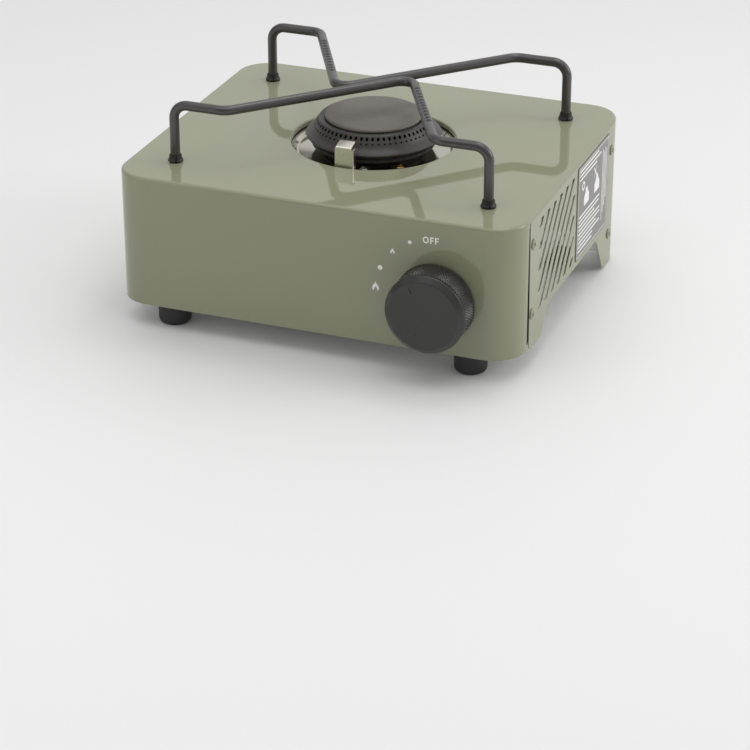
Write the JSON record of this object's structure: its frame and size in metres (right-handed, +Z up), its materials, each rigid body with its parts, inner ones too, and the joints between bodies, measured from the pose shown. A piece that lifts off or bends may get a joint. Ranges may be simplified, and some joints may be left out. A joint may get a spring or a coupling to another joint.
{
  "type": "camping stove",
  "caption": "Low square single-burner camping stove with a knob at the front right, vented side panels and two bent rods that carry the pan.",
  "frame": {"origin": "middle of the bounding box in plan, at the height the feet stand on", "axes": "+Z up, +Y to the back, the knob faces -Y and sits on the +X side"},
  "size_m": [0.2632, 0.24, 0.1394],
  "materials": {
    "sage_paint": "glossy sage green paint",
    "black_enamel": "satin black enamel",
    "burner_coating": "charcoal heat-resistant coating on cast aluminium",
    "black_plastic": "matte black",
    "rubber": "matte black rubber",
    "silicone_lead": "black silicone insulation",
    "bright_steel": "bright stainless sheet",
    "steel": "plated steel",
    "galvanised_sheet": "galvanised sheet",
    "cast_aluminium": "plain cast and drawn aluminium",
    "brass": "turned brass",
    "ceramic": "unglazed white ceramic",
    "label_grey": "grey printed label"
  },
  "bodies": {
    "housing": {"base_plate": "galvanised_sheet", "burner_bowl": "bright_steel", "burner_cap": "burner_coating", "burner_head": "burner_coating", "burner_ring": "burner_coating", "burner_screw_1": "steel", "burner_screw_2": "brass", "burner_screw_3": "steel", "cartridge_cradle": "galvanised_sheet", "cartridge_seat": "steel", "corner_bracket_front_left": "galvanised_sheet", "corner_bracket_front_right": "galvanised_sheet", "corner_bracket_rear_left": "galvanised_sheet", "corner_bracket_rear_right": "galvanised_sheet", "electrode_cover": "bright_steel", "electrode_insulator": "ceramic", "electrode_tip": "steel", "foot_bracket": "galvanised_sheet", "foot_front_left": "rubber", "foot_front_right": "rubber", "foot_rear_left": "rubber", "foot_rear_right": "rubber", "gas_jet": "brass", "gas_pipe": "cast_aluminium", "grommet_front_left": "black_plastic", "grommet_front_right": "black_plastic", "grommet_rear_left": "black_plastic", "grommet_rear_right": "black_plastic", "heat_shield": "galvanised_sheet", "igniter_lead": "silicone_lead", "mixing_tube": "cast_aluminium", "panel_screw_left_1": "sage_paint", "panel_screw_left_2": "sage_paint", "panel_screw_left_3": "sage_paint", "panel_screw_left_4": "sage_paint", "panel_screw_right_1": "sage_paint", "panel_screw_right_2": "sage_paint", "panel_screw_right_3": "sage_paint", "panel_screw_right_4": "sage_paint", "piezo_striker": "black_plastic", "rating_label": "label_grey", "rear_panel": "sage_paint", "regulator_body": "cast_aluminium", "regulator_bracket": "galvanised_sheet", "regulator_cover": "cast_aluminium", "side_panel_left": "sage_paint", "side_panel_right": "sage_paint", "top_shell": "sage_paint"},
    "knob": {"knob": "black_plastic", "valve_stem": "brass", "ignition_cam": "black_plastic"},
    "striker": {"striker_plunger": "black_plastic"},
    "support_front": {"pan_support_front": "black_enamel"},
    "support_rear": {"pan_support_rear": "black_enamel"}
  },
  "joints": [
    {"name": "knob_turn", "type": "hinge", "parent": "housing", "child": "knob", "pos_m": [0.08, -0.0974, 0.0485], "axis": [0, -1, 0], "range_deg": [0, 80]},
    {"name": "striker_press", "type": "slide", "parent": "housing", "child": "striker", "axis": [-1, 0, 0], "range_m": [0, 0.0041]},
    {"name": "support_front_lift", "type": "slide", "parent": "housing", "child": "support_front", "axis": [0, 0, 1], "range_m": [0, 0.03]},
    {"name": "support_rear_lift", "type": "slide", "parent": "housing", "child": "support_rear", "axis": [0, 0, 1], "range_m": [0, 0.03]}
  ],
  "couplings": [
    {"joint": "striker_press", "follows": "knob_turn", "m_per_rad": 0.00286}
  ]
}
